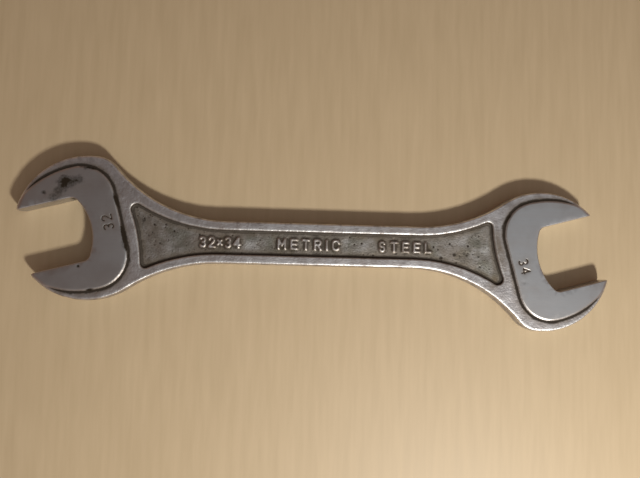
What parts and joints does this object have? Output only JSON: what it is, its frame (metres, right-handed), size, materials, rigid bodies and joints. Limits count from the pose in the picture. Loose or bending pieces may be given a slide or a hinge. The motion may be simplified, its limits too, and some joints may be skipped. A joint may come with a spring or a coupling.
{
  "type": "double open-ended wrench",
  "caption": "Fixed double open-ended wrench: two U-shaped jaws set at 15 degrees on a long forged shank with sunk panels, ground jaw faces and raised lettering.",
  "frame": {"origin": "middle of the bounding box in X and Y, on the plane of the two lower jaw faces it rests on", "axes": "+X along the shank from the 32 mm head to the 34 mm head, +Z out of the marked face, +Y completes the right-handed set"},
  "size_m": [0.3018, 0.0836, 0.0105],
  "materials": {
    "forged_steel": "worn satin: ground jaw faces, duller forged shank, dark grime in the steps and round the lettering"
  },
  "bodies": {
    "root": {"forged_body": "forged_steel"}
  },
  "joints": []
}
